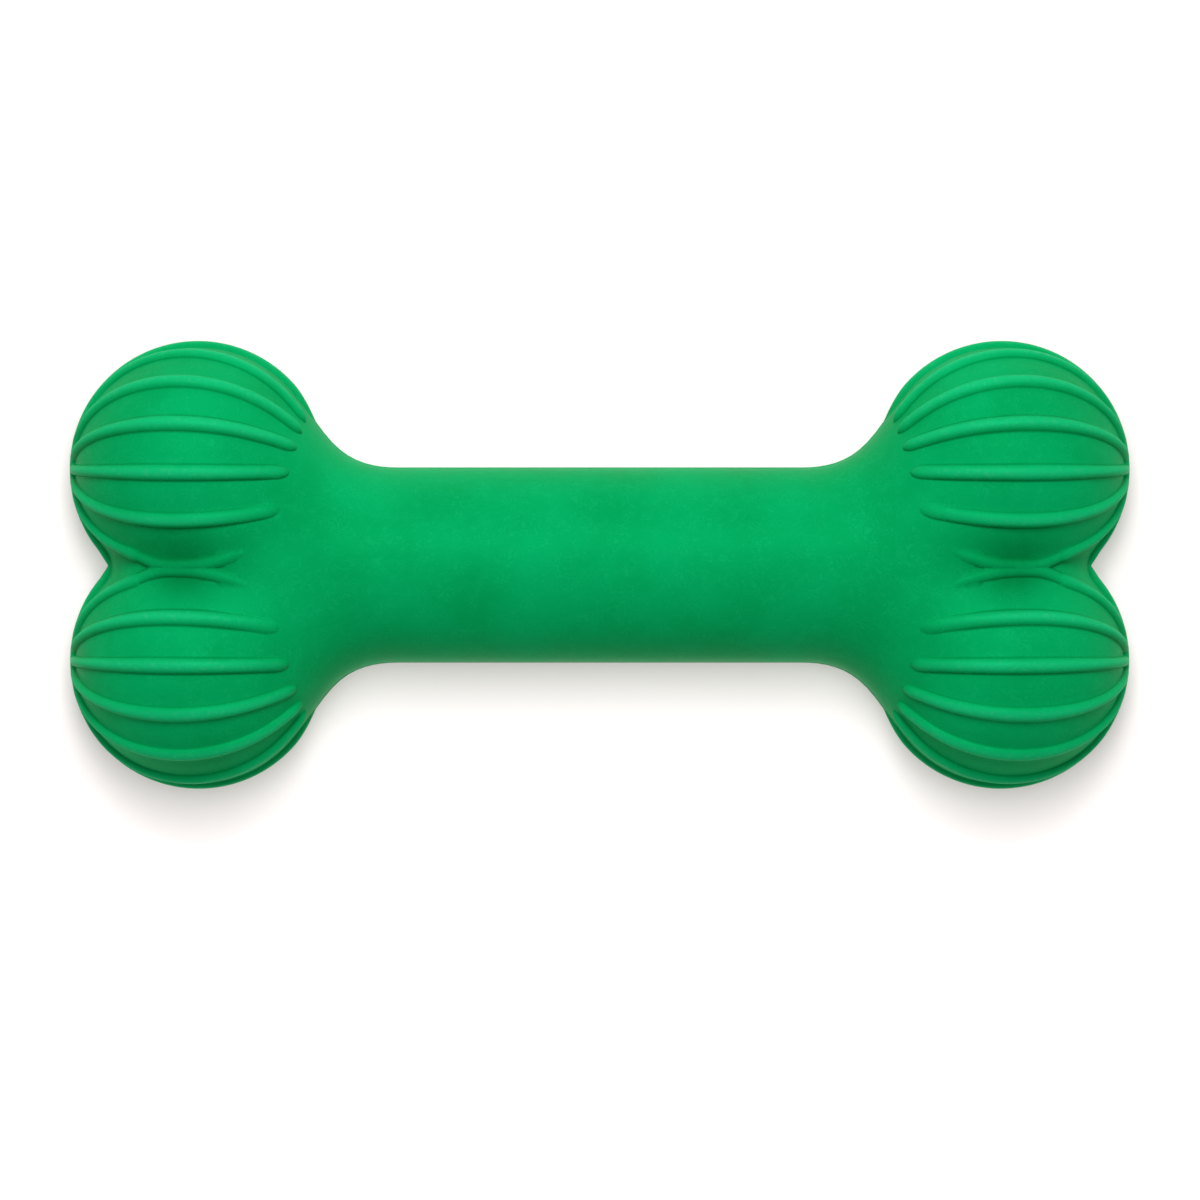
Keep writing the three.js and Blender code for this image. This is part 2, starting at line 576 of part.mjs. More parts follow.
/** Cap over the cup: its skirt stands on the plate, notched for the reed, and its top lets the air in. */
function squeakerCap() {
  const top = CUP_TOP_Z + CAP_THICKNESS;
  let cap = turned([
    [0, CUP_TOP_Z],
    [SKIRT_BORE_RADIUS, CUP_TOP_Z],
    [SKIRT_BORE_RADIUS, PLATE_TOP_Z],
    [PLATE_RADIUS, PLATE_TOP_Z],
    [PLATE_RADIUS, CUP_TOP_Z],
    [CUP_RADIUS, CUP_TOP_Z],
    [CUP_RADIUS, top],
    [0, top],
  ]);
  const notchTop = REED_BOTTOM_Z + REED_THICKNESS + CLEARANCE;
  const notchWidth = REED_WIDTH + 2 * CLEARANCE;
  const notch = new THREE.BoxGeometry(CUP_RADIUS, notchWidth, notchTop - SEAT_Z);
  notch.translate(-CUP_RADIUS / 2, 0, (notchTop + SEAT_Z) / 2);
  cap = cap.subtract(toSolid(notch));
  const holeRing = SKIRT_BORE_RADIUS / 2;
  for (let hole = 0; hole < CAP_HOLE_COUNT; hole += 1) {
    const turn = (hole * 2 * Math.PI) / CAP_HOLE_COUNT;
    const place = [holeRing * Math.cos(turn), holeRing * Math.sin(turn)];
    cap = cap.subtract(post(CAP_HOLE_DIAMETER / 2, SEAT_Z, SPACE, place, SMALL_HOLE_SEGMENTS));
  }
  return cap;
}

const outside = ribbedHalf();
const hollow = wholeBone(plainLines(), plainSkin(WALL, HOLLOW_BLEND));

const toy = new THREE.Group();
toy.position.z = -GROUND_Z;

function addPiece(name, solid, material) {
  const mesh = new THREE.Mesh(toGeometry(solid), material);
  mesh.name = name;
  toy.add(mesh);
}

addPiece('upper_shell', upperShell(outside, hollow), rubber);
addPiece('lower_shell', lowerShell(outside, hollow), rubber);
addPiece('squeaker_cup', squeakerCup(), cupPlastic);
addPiece('reed_plate', reedPlate(), cupPlastic);
addPiece('squeaker_reed', squeakerReed(), reedPlastic);
addPiece('squeaker_cap', squeakerCap(), cupPlastic);

export default toy;
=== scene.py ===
"""Bone-shaped squeaky dog toy: fine ribbed rubber skins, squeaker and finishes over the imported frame.

Metres. +X runs along the bone, +Y across it and +Z up, and the ground is at z = 0.
Shapes of the bone are worked out round its middle and lifted to the parting height at the end.
"""

import json
import math

import bmesh
import bpy
import numpy as np
from mathutils import Matrix, Vector


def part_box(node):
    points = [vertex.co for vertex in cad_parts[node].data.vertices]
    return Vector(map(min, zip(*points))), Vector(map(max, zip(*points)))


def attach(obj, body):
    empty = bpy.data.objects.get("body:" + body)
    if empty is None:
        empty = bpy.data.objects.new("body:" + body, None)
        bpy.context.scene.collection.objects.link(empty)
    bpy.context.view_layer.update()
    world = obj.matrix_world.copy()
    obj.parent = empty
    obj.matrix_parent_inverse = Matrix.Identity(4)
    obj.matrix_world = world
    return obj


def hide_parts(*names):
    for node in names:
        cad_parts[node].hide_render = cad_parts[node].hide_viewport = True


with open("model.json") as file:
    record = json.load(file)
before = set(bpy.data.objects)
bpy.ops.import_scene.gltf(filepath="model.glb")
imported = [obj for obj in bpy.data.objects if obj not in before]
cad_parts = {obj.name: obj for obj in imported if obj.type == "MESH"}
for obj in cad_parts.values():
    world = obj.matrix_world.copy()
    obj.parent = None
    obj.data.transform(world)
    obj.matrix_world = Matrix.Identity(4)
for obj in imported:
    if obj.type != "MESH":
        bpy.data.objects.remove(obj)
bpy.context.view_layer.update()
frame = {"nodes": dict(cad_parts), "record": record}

# Bone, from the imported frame
REST_POINTS = {mount["name"]: mount["pos_m"] for mount in frame["record"]["mounts"]}
LOBE_X, LOBE_Y = REST_POINTS["rest_right_back"][:2]
PARTING_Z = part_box("lower_shell")[1].z

# Ribs
RIBS_EACH_SIDE = 3  # of the one along the top of a lobe
INNER_RIB_PITCH = math.radians(22.8)  # towards the other lobe
OUTER_RIB_PITCH = math.radians(23.4)
RIB_HEIGHT = 0.00095
RIB_WIDTH = 0.0027  # on the top of a lobe
RIB_END_WIDTH = 0.0018  # towards the outer pole
RIB_NECK_WIDTH = 0.0023  # towards the neck
RIB_SINK = 0.15  # of the height of the neck's blend, by which ribs sink into it
RIB_AXIS_TILT = math.radians(11)  # of the outer pole of the upper ribs below the parting plane
RIB_TIP_ANGLE = math.radians(8)
BEAD_ARC = 1.05  # radius of the rib's round section, in half rib widths
FOOT_FILLET = 0.0003
RUN_OUT_LEAN = math.radians(21)
RUN_OUT_DEPTH = 0.0139  # from a lobe's centre to the upright plane where its ribs run out
VALLEY_RIB_END = math.radians(74)

# Bead round the rim of the lobes, on the parting plane
RIM_END_ANGLE = math.radians(163)
RIM_TIP_LENGTH = 0.009
RIM_NOTCH_LENGTH = 0.0035
BEAD_DIVE = 0.3  # of its height that a bead sinks below the skin at its ends

# Beads along the valley between two lobes, one from each side, that part where it opens out
VALLEY_BEAD_HEIGHT = 0.00065
VALLEY_BEAD_START_X = LOBE_X + 0.0125
VALLEY_BEAD_END_X = LOBE_X - 0.0116
VALLEY_OUTER_X = LOBE_X + 0.0053  # where they part towards the outer end
VALLEY_NECK_X = LOBE_X - 0.0017  # where they part towards the neck
VALLEY_OUTER_SLOPE = 0.47
VALLEY_NECK_SLOPE = 0.4
VALLEY_HALF_GAP = 0.0004  # half of the gap between their middle lines, where they are nearest
VALLEY_OUTER_TURN = 0.0012
VALLEY_NECK_TURN = 0.0024
VALLEY_START_LENGTH = 0.003
VALLEY_TIP_LENGTH = 0.0108
VALLEY_FADE_POWER = 2  # of the sine with which they rise and fade

# Flash along the parting line of the necks and the shaft, where the mould closes
FLASH_HEIGHT = 0.00012
FLASH_RADIUS = 0.0002
FLASH_END_X = 0.052

# Bone, without its ribs
LOBE_RADIUS = 0.0196
CREST_RADIUS = LOBE_RADIUS + RIB_HEIGHT
SHAFT_RADIUS = 0.0155
SHAFT_CORE_X = 0.048
NECK_BLEND = 0.0122
VALLEY_BLEND = 0.0051
STRAIGHT_X = LOBE_X - LOBE_RADIUS - NECK_BLEND
COVER_DEPTH = 0.0009  # under the skin, down to which the shells follow the fine shape

# Painted shade at the feet of ribs and in the valleys between lobes
FOOT_HEIGHT = 0.4  # of the height of a rib, up to which its foot reaches
FOOT_STEEPNESS = 0.25  # one less the cosine of the angle to the bare bone, at which a foot counts in full
FOOT_RIM_GAP = 0.002  # beside the parting plane, within which nothing has a dark foot
FOOT_RIM_FADE = 0.002
FOOT_NECK_RISE = 0.0018  # of the neck over the lobes, at which feet have faded
RECESS_WIDTH = 0.012
RECESS_START_X = LOBE_X - 0.017
RECESS_END_X = LOBE_X + 0.01
RECESS_FADE = 0.007

# Vent
VENT_RADIUS = 0.00155
VENT_MOUTH = 0.0004
VENT_DEPTH = LOBE_RADIUS / 2  # from the skin, through the wall and into the socket

# Fineness of the skin
HALF_RIB_STEPS = 6
GAP_STEPS = 6
BARE_MARKS = 2
LOBE_STEPS = 92
TIP_STEPS = 12
NECK_STEPS = 40
SHAFT_STEPS = 8
RIM_STEPS = 150
VALLEY_STEPS = 60
FLASH_STEPS = 80
ROUND_STEPS = 24
MOUTH_STEPS = ROUND_STEPS // 3
COVER_LINE_STRIDE = 6
COVER_RING_STRIDE = 4
SEARCH_STEPS = 44
SEARCH_REACH = 4 * LOBE_RADIUS
LEAST_NARROWING = 0.25  # of the fan's lines at the tip of a rib
WIDEST_RIB_SHARE = 0.46  # of the pitch between ribs
POLE_SINE = 1e-6
TRIM = 0.005
GRADIENT_STEP = 1e-6
MERGE_DISTANCE = 5e-8
CAD_MERGE_DISTANCE = 1e-7
SHARP_ANGLE = math.radians(50)

# Finish of the rubber
GREEN_DARK = (0.0006, 0.36, 0.091)
GREEN_LIGHT = (0.001, 0.42, 0.117)
# Paler green of wear and of a painted highlight on the crests, also used for the curly marks
GREEN_WORN_AND_HIGHLIGHT = (0.012, 0.6, 0.21)
GREEN_MILKY = (0.1, 0.55, 0.28)
# Painted shade at the feet of ribs and in the valleys between lobes
GREEN_PAINTED_SHADE = (0.0002, 0.16, 0.03)
NOISE_RANGE = (0.3, 0.7)  # in which most of a noise lies
MOTTLE_SCALE = 60
GRAIN_SCALE = 1500
GRAIN_DEPTH = 0.00002
GRAIN_ROUGHNESS = 0.06
RUBBER_ROUGHNESS = (0.38, 0.46)
RUBBER_METALLIC = 0.03
RUBBER_SPECULAR = 0.02
RUBBER_SPECULAR_TINT = (0.05, 1, 0.55)
CREST_HIGHLIGHT_POWER = 3  # of the crest
CREST_WEAR_AND_HIGHLIGHT_SHARE = 0.6  # of the paler green, from wear and a painted highlight, on a crest
SPECKLE_SCALE = 1300
SPECKLE_RANGE = (0.52, 0.7)
SPECKLE_POWER = 4  # of the crest
SPECKLE_SHARE = 0.15  # of the milky green in a speck
RECESS_SHADE_SHARE = 0.8  # of the deep green of the painted shade in a recess
FOOT_SHADE_SHARE = 0.85  # of the deep green of the painted shade at a foot
CURL_SCALES = (560, 900)
CURL_TWIST = 0.8
CURL_LEVELS = 5
CURL_LINE = (0.03, 0.2)  # off a level of the noise, between which a curl fades
CURL_BREAK_SCALE = 0.6  # of a curl's own scale
CURL_BREAK_RANGE = (0.42, 0.6)
CURL_SHARE = 0.16  # of the worn green on a curl
CURL_RELIEF = 0.35  # of the grain's depth

# Finish of the squeaker
PLASTIC_DARK = (0.72, 0.7, 0.63)
PLASTIC_LIGHT = (0.82, 0.8, 0.73)
PLASTIC_FLOW_SCALE = 180
PLASTIC_FLOW_TWIST = 1.5
PLASTIC_GRAIN_SCALE = 4000
PLASTIC_GRAIN_DEPTH = 0.000004
PLASTIC_ROUGHNESS = (0.34, 0.46)
REED_DARK = (0.82, 0.8, 0.71)
REED_LIGHT = (0.9, 0.88, 0.8)
REED_STREAK_SCALE = 1200
REED_STREAK_STRETCH = (0.06, 1, 1)
REED_ROUGHNESS = (0.16, 0.26)

# Studio
FLOOR_REACH = 40 * LOBE_X
FLOOR_COLOUR = (0.52, 0.49, 0.49)
FLOOR_GLOW_COLOUR = (1, 0.91, 0.91)
FLOOR_GLOW = 0.42  # added to the floor near the toy, so that it looks white
FLOOR_FAR_GLOW = 1.15
FLOOR_NEAR, FLOOR_FAR = 0.15, 0.9  # between which the glow takes the place of the lamp's light
SKY_STRENGTH = 0.19
LAMP_DISTANCE = 1.2
SOFTBOX_SIZE = (0.55, 0.55)
SOFTBOX_POWER = 12.6
SOFTBOX_TILT = math.radians(29.5)
SOFTBOX_COLOUR = (0.9, 0.92, 1)
OVERHEAD_SIZE = (0.2, 0.5)
OVERHEAD_POWER = 18
OVERHEAD_TILT = math.radians(11)

# Camera: the picture's width on the plane of the outline, and where its middle lies
FRAME_WIDTH = 0.192
AIM = Vector((0.00005, -0.0056, PARTING_Z))
CAMERA_DISTANCE = 1.6
CAMERA_LEAN = math.radians(2.2)
CAMERA_REACH = 10 * CAMERA_DISTANCE
SENSOR_WIDTH = 36

# Angle of the valley round a lobe's axis, and radius of a bead as wide as a rib where it is as high as one
VALLEY_ANGLE = -math.asin(LOBE_Y / CREST_RADIUS)
BEAD_RADIUS = (RIB_WIDTH**2 / 4 + RIB_HEIGHT**2) / (2 * RIB_HEIGHT)


def blended(first, second, width):
    """Smaller of two distances, rounded off where they differ by less than the width of the blend."""
    share = np.maximum(width - np.abs(first - second), 0) / width
    return np.minimum(first, second) - share**2 * width / 4


def heights_over_lobes(points):
    """Heights over the two balls at the nearer end of the bone, negative inside them."""
    x, y, z = np.moveaxis(points, -1, 0)
    along = np.abs(x) - LOBE_X
    return [np.sqrt(along**2 + (y - middle) ** 2 + z**2) - LOBE_RADIUS for middle in (LOBE_Y, -LOBE_Y)]


def height_over_bone(points):
    """Height over the bare bone, negative inside: four balls and a round-ended shaft, blended together."""
    x, y, z = np.moveaxis(points, -1, 0)
    past_core = np.maximum(np.abs(x) - SHAFT_CORE_X, 0)
    shaft = np.sqrt(past_core**2 + y**2 + z**2) - SHAFT_RADIUS
    return blended(blended(*heights_over_lobes(points), VALLEY_BLEND), shaft, NECK_BLEND)


def rib_marks():
    """Angles of the ribs round a lobe's axis, from its inner flank over the top to its outer flank.

    Past the last rib on either side come marks of bare skin, which carry the fan past the parting plane."""
    index = np.arange(-RIBS_EACH_SIDE - BARE_MARKS, RIBS_EACH_SIDE + BARE_MARKS + 1)
    return index * np.where(index < 0, INNER_RIB_PITCH, OUTER_RIB_PITCH)


def rib_half_angle(polar):
    """Half of the angle that a rib takes up round its lobe.

    Its width swells with the fourth power of the sine of the polar angle."""
    sine = np.maximum(np.sin(polar), POLE_SINE)
    end_width = np.where(polar < math.pi / 2, RIB_END_WIDTH, RIB_NECK_WIDTH)
    width = end_width + (RIB_WIDTH - end_width) * sine**4
    return width / 2 / (LOBE_RADIUS * sine)


def run_out_angle(azimuth):
    """Polar angle at which a line along the crests meets the upright plane where the ribs run out.

    Along the line, the distance from that plane is a cosine and a sine of the polar angle, added to a
    constant."""
    cosine, sine = math.cos(RUN_OUT_LEAN), math.sin(RUN_OUT_LEAN)
    with_cosine = CREST_RADIUS * math.cos(RIB_AXIS_TILT) * cosine
    with_sine = CREST_RADIUS * (np.cos(azimuth) * math.sin(RIB_AXIS_TILT) * cosine + np.sin(azimuth) * sine)
    return np.arctan2(with_sine, with_cosine) + np.arccos(-RUN_OUT_DEPTH / np.hypot(with_sine, with_cosine))


def rib_end_angle(azimuth):
    """Polar angle at which a rib ends: on the neck or, past the valley, where it meets the other lobe's.

    The rib next to the valley ends where the bead along it carries on."""
    if azimuth < VALLEY_ANGLE:
        return math.asin(math.sin(VALLEY_ANGLE) / math.sin(azimuth))
    return VALLEY_RIB_END if azimuth < VALLEY_ANGLE + INNER_RIB_PITCH / 2 else run_out_angle(azimuth)


def bead_height(distance_squared):
    """Height of a rib, from the square of the distance to its middle line: an arc with a filleted foot."""
    foot = math.sqrt(BEAD_ARC**2 - 1)
    arc = np.sqrt(np.maximum(BEAD_ARC**2 - distance_squared, 0)) - foot
    return -blended(-RIB_HEIGHT * arc / (BEAD_ARC - foot), 0, FOOT_FILLET)


def rib_height(azimuth, polar):
    """Height of the ribs over the lobe.

    The distance to a rib's middle line is in half rib widths across it, and in tip lengths along its tip."""
    height = np.zeros(azimuth.shape)
    for mark in rib_marks()[BARE_MARKS:-BARE_MARKS]:
        across = (azimuth - mark) / rib_half_angle(polar)
        along = np.maximum(polar - rib_end_angle(mark) + RIB_TIP_ANGLE, 0) / RIB_TIP_ANGLE
        height = np.maximum(height, bead_height(across**2 + along**2))
    return height


def shaft_angle(towards_flank):
    """Angle round the shaft that a line of the lobe runs on to: the valley leads to the top of the shaft."""
    past_valley = (towards_flank - VALLEY_ANGLE) * math.pi / 2
    quarter = np.where(past_valley > 0, math.pi / 2 - VALLEY_ANGLE, math.pi / 2 + VALLEY_ANGLE)
    return past_valley / quarter


def fan_lines():
    """Lines of the fan over a lobe: their angle round the axis, and their lean from there in half rib angles.

    From the middle of one rib to the next the lines crowd towards the feet of both ribs."""
    half_rib = np.sin(np.linspace(0, math.pi / 2, HALF_RIB_STEPS + 1))
    gap = (1 - np.cos(np.linspace(0, math.pi, GAP_STEPS + 1)[1:-1])) / 2
    across_gap = np.concatenate([np.zeros(HALF_RIB_STEPS + 1), gap, np.ones(HALF_RIB_STEPS)])
    past_middle = np.concatenate([half_rib, np.ones(GAP_STEPS - 1), 2 - half_rib[:0:-1]])
    marks = rib_marks()
    between = marks[:-1, None] * (1 - across_gap) + marks[1:, None] * across_gap
    turn = np.append(between.ravel(), marks[-1])
    lean = np.append(np.tile(past_middle - 2 * across_gap, len(marks) - 1), 0)
    return turn, lean


def lobe_directions(polar, azimuth):
    """Directions from a lobe's centre, by the angle from the tilted outer pole and the angle round it."""
    along, above, aside = np.cos(polar), np.sin(polar) * np.cos(azimuth), np.sin(polar) * np.sin(azimuth)
    cosine, sine = math.cos(RIB_AXIS_TILT), math.sin(RIB_AXIS_TILT)
    return np.stack([along * cosine + above * sine, aside, above * cosine - along * sine], axis=-1)


def lobe_fan(turn, lean):
    """Directions of the rays over a lobe, from the outer pole to the rib tips, and the ribs' height."""
    end = run_out_angle(turn)
    body = np.linspace(0, 1, LOBE_STEPS + 1)[:, None] * (end - RIB_TIP_ANGLE)
    past_body = np.sin(np.linspace(0, math.pi / 2, TIP_STEPS + 1))[1:, None]
    polar = np.vstack([body, end - RIB_TIP_ANGLE + RIB_TIP_ANGLE * past_body])
    along_tip = np.vstack([np.zeros((LOBE_STEPS + 1, 1)), past_body])
    narrowing = np.sqrt(np.maximum(1 - along_tip**2, LEAST_NARROWING**2))
    half_angle = np.minimum(rib_half_angle(polar) * narrowing, WIDEST_RIB_SHARE * INNER_RIB_PITCH)
    azimuth = turn + lean * half_angle
    return lobe_directions(polar, azimuth), rib_height(azimuth, polar)


def neck_fan(on_lobe, square):
    """Origins and directions of the rays over the neck, between the last row on the lobe and the shaft's.

    The origin slides from the lobe's centre to the shaft's axis while the rays swing square to that axis."""
    share = np.linspace(0, 1, NECK_STEPS + 1)[1:, None, None]
    directions = on_lobe * (1 - share) + square * share
    directions /= np.linalg.norm(directions, axis=-1, keepdims=True)
    path = np.concatenate(
        [LOBE_X + (STRAIGHT_X - LOBE_X) * share, LOBE_Y * (1 - share) ** 2, 0 * share], axis=-1
    )
    return np.broadcast_to(path, directions.shape), directions


def bone_fan():
    """Rays along which the skin of an eighth of the bone is found, and the height of the ribs on them.

    Rows run from the outer pole of the ribs over the lobe and the neck to the middle of the shaft, and
    columns from the inner flank over the top to the outer flank. The rays leave the lobe's centre on the
    lobe, and the shaft's axis on the shaft."""
    turn, lean = fan_lines()
    on_lobe, lift = lobe_fan(turn, lean)
    around = shaft_angle(np.linspace(turn[0], turn[-1], len(turn)))
    square = np.stack([np.zeros_like(around), np.sin(around), np.cos(around)], axis=-1)
    neck_origin, on_neck = neck_fan(on_lobe[-1], square)
    on_shaft = np.broadcast_to(square, (SHAFT_STEPS, *square.shape))
    shaft_path = np.zeros((SHAFT_STEPS, 1, 3))
    shaft_path[:, 0, 0] = STRAIGHT_X * np.linspace(1, 0, SHAFT_STEPS + 1)[1:]

    lobe_origin = np.broadcast_to((LOBE_X, LOBE_Y, 0), on_lobe.shape)
    shaft_origin = np.broadcast_to(shaft_path, on_shaft.shape)
    origins = np.concatenate([lobe_origin, neck_origin, shaft_origin])
    directions = np.concatenate([on_lobe, on_neck, on_shaft])
    lifts = np.concatenate([lift, np.zeros((NECK_STEPS + SHAFT_STEPS, len(turn)))])
    return origins, directions, lifts


def skin_points(origins, directions, lifts, inset=0):
    """Points where rays leave the bone that lies inset below its bare skin, found by halving, and lifted.

    Past the plane between two lobes the skin runs straight on, so that it can be trimmed there. What is
    lifted sinks by a share of the height at which the neck's blend stands over the lobes."""
    inside = np.zeros(directions.shape[:-1])
    towards_middle = np.maximum(-directions[..., 1], POLE_SINE)
    outside = np.minimum(SEARCH_REACH, (origins[..., 1] + TRIM) / towards_middle)
    for _ in range(SEARCH_STEPS):
        middle = (inside + outside) / 2
        points = origins + directions * middle[..., None]
        points[..., 1] = np.maximum(points[..., 1], 0)
        deeper = height_over_bone(points) < -inset
        inside = np.where(deeper, middle, inside)
        outside = np.where(deeper, outside, middle)
    points = origins + directions * outside[..., None]
    sunk = RIB_SINK * np.maximum(blended(*heights_over_lobes(points), VALLEY_BLEND), 0)
    return points + directions * np.maximum(lifts - sunk, 0)[..., None]


def grid_faces(rows, columns):
    """Quads between neighbouring rows and columns of a grid of points, numbered row by row."""
    first = np.arange((rows - 1) * columns).reshape(rows - 1, columns)[:, :-1].ravel()
    return np.stack([first, first + 1, first + columns + 1, first + columns], axis=-1)


def mesh_of(name, points, faces):
    """Mesh made from an array of points and a list of faces."""
    mesh = bpy.data.meshes.new(name)
    mesh.from_pydata(points.reshape(-1, 3).tolist(), [], faces)
    return mesh


def points_of(mesh):
    """Array of the points of a mesh."""
    points = np.empty(len(mesh.vertices) * 3, np.float32)
    mesh.vertices.foreach_get("co", points)
    return points.reshape(-1, 3)


def reworked(mesh, work):
    """Replaces a mesh by what some work on its points, edges and faces makes of it."""
    shape = bmesh.new()
    shape.from_mesh(mesh)
    work(shape)
    bmesh.ops.recalc_face_normals(shape, faces=shape.faces)
    shape.to_mesh(mesh)
    shape.free()
    return mesh


def trim(shape, direction, height=0):
    """Cuts away what lies behind a plane that faces a direction at some height along it."""
    everything = shape.verts[:] + shape.edges[:] + shape.faces[:]
    place = Vector(direction) * height
    bmesh.ops.bisect_plane(
        shape, geom=everything, dist=MERGE_DISTANCE, plane_co=place, plane_no=direction, clear_inner=True
    )


def mirrored_eighth(shape):
    """Trims a grid over an eighth of the bone to the middle planes and mirrors it to all eight of them."""
    trim(shape, (0, 1, 0))
    trim(shape, (0, 0, 1))
    for axis in "ZYX":
        everything = shape.verts[:] + shape.edges[:] + shape.faces[:]
        bmesh.ops.mirror(shape, geom=everything, axis=axis, merge_dist=MERGE_DISTANCE)
    bmesh.ops.remove_doubles(shape, verts=shape.verts, dist=MERGE_DISTANCE)


def bone_mesh(name, fan, inset=0):
    """Closed mesh of the whole bone over a fan, inset below its skin.

    Points next to a middle plane are put exactly on it."""
    points = skin_points(*fan, inset)
    points[-1, :, 0] = 0
    mesh = reworked(mesh_of(name, points, grid_faces(*points.shape[:2]).tolist()), mirrored_eighth)
    points = points_of(mesh)
    points[np.abs(points) < MERGE_DISTANCE] = 0
    mesh.vertices.foreach_set("co", points.ravel())
    return mesh


def tube_mesh(name, rings):
    """Closed mesh over rings of points that follow each other, with flat ends on the first and the last."""
    count = rings.shape[1]
    wrapped = np.arange(rings.shape[0])[:, None] * count + np.arange(count + 1) % count
    sides = np.stack([wrapped[:-1, :-1], wrapped[:-1, 1:], wrapped[1:, 1:], wrapped[1:, :-1]], axis=-1)
    ends = [wrapped[0, :-1].tolist(), wrapped[-1, :-1].tolist()]
    return reworked(mesh_of(name, rings, sides.reshape(-1, 4).tolist() + ends), lambda shape: None)


def outward_from(points):
    """Directions in which the height over the bare bone grows, from its change over small steps."""
    steps = GRADIENT_STEP * np.eye(3)
    growth = [height_over_bone(points + step) - height_over_bone(points - step) for step in steps]
    outward = np.stack(growth, axis=-1)
    return outward / np.linalg.norm(outward, axis=-1, keepdims=True)


def bead(name, path, height, radius):
    """Round bead along a path on the skin: a circle carried along it, with its centre under the skin."""
    along = np.gradient(path, axis=0)
    aside = np.cross(outward_from(path), along)
    aside /= np.linalg.norm(aside, axis=-1, keepdims=True)
    outward = np.cross(along, aside)
    outward /= np.linalg.norm(outward, axis=-1, keepdims=True)
    turn = np.linspace(0, 2 * math.pi, ROUND_STEPS, endpoint=False)[:, None]
    lift = radius * np.cos(turn) - radius + height[:, None, None]
    return tube_mesh(name, path[:, None] + outward[:, None] * lift + aside[:, None] * radius * np.sin(turn))


def swell(share, power=1):
    """Share of its full height that a bead has, rising from below the skin with a power of a sine."""
    return (1 + BEAD_DIVE) * np.sin(np.clip(share, 0, 1) * math.pi / 2) ** power - BEAD_DIVE


def distance_along(path):
    """Distance along a path to each of its points."""
    return np.append(0, np.cumsum(np.linalg.norm(np.diff(path, axis=0), axis=-1)))


def rim_bead(end):
    """Bead round both lobes at one end of the bone, on the parting plane.

    It sinks below the skin at the notch between the lobes, and in its tips on both sides of the neck."""
    bearing = np.linspace(RIM_END_ANGLE, VALLEY_ANGLE, RIM_STEPS + 1)
    direction = np.stack([np.cos(bearing), np.sin(bearing), np.zeros_like(bearing)], axis=-1)
    half = skin_points(np.broadcast_to((LOBE_X, LOBE_Y, 0), direction.shape), direction, 0)
    path = np.concatenate([half[:-1], half[::-1] * (1, -1, 1)])
    travelled = distance_along(path)
    from_tip = np.minimum(travelled, travelled[-1] - travelled) / RIM_TIP_LENGTH
    from_notch = np.abs(path[:, 1]) / RIM_NOTCH_LENGTH
    height = RIB_HEIGHT * swell(np.minimum(from_tip, from_notch))
    return bead("rim_bead", path * (end, 1, 1), height, BEAD_RADIUS)


def valley_bead(end, side, half):
    """Bead along the valley, from a rib of the lobe on one side to the neck.

    Its distance from the plane between the lobes is the hypotenuse of the half gap and of what two slopes
    add, past where the beads part."""
    x = np.linspace(VALLEY_BEAD_START_X, VALLEY_BEAD_END_X, VALLEY_STEPS + 1)
    towards_end = blended(VALLEY_OUTER_SLOPE * (VALLEY_OUTER_X - x), 0, VALLEY_OUTER_TURN)
    towards_neck = blended(VALLEY_NECK_SLOPE * (x - VALLEY_NECK_X), 0, VALLEY_NECK_TURN)
    aside = np.hypot(towards_end + towards_neck, VALLEY_HALF_GAP)
    origins = np.stack([x, aside, np.zeros_like(x)], axis=-1)
    path = skin_points(origins, np.broadcast_to((0, 0, 1), origins.shape), 0)
    travelled = distance_along(path)
    from_start = travelled / VALLEY_START_LENGTH
    from_tip = (travelled[-1] - travelled) / VALLEY_TIP_LENGTH
    height = VALLEY_BEAD_HEIGHT * swell(np.minimum(from_start, from_tip), VALLEY_FADE_POWER)
    return bead("valley_bead", path * (end, side, half), height, BEAD_RADIUS)


def flash(side):
    """Thin flash on one flank, along the parting line from neck to neck: a small bead of even height."""
    x = np.linspace(FLASH_END_X, -FLASH_END_X, FLASH_STEPS + 1)
    origins = np.stack([x, np.zeros_like(x), np.zeros_like(x)], axis=-1)
    path = skin_points(origins, np.broadcast_to((0, 1, 0), origins.shape), 0)
    return bead("flash", path * (1, side, 1), np.full(x.shape, FLASH_HEIGHT), FLASH_RADIUS)


def vent_bore():
    """Cutter for the vent, a lathe shape: a straight bore that widens to the skin as a quarter circle."""
    turn = np.linspace(0, math.pi / 2, MOUTH_STEPS)
    mouth_radius = VENT_RADIUS + VENT_MOUTH * (1 - np.cos(turn))
    mouth_height = -SHAFT_RADIUS + VENT_MOUTH * (1 - np.sin(turn))
    radius = np.concatenate([[VENT_RADIUS], mouth_radius, mouth_radius[-1:]])
    height = np.concatenate([[VENT_DEPTH - SHAFT_RADIUS], mouth_height, [-2 * SHAFT_RADIUS]])
    around = np.linspace(0, 2 * math.pi, ROUND_STEPS, endpoint=False)
    level = np.outer(height, np.ones(ROUND_STEPS))
    rings = np.stack([np.outer(radius, np.cos(around)), np.outer(radius, np.sin(around)), level], axis=-1)
    return tube_mesh("vent_bore", rings)


def combined(first, second, operation):
    """Mesh of one closed mesh joined with, cut by or cut to another one. Both are used up."""
    holder, tool = [bpy.data.objects.new(mesh.name, mesh) for mesh in (first, second)]
    for piece in (holder, tool):
        bpy.context.scene.collection.objects.link(piece)
    modifier = holder.modifiers.new("combine", "BOOLEAN")
    modifier.object = tool
    modifier.operation = operation
    modifier.solver = "MANIFOLD"
    result = bpy.data.meshes.new_from_object(holder.evaluated_get(bpy.context.evaluated_depsgraph_get()))
    for mesh in (first, second):
        bpy.data.meshes.remove(mesh)
    return result


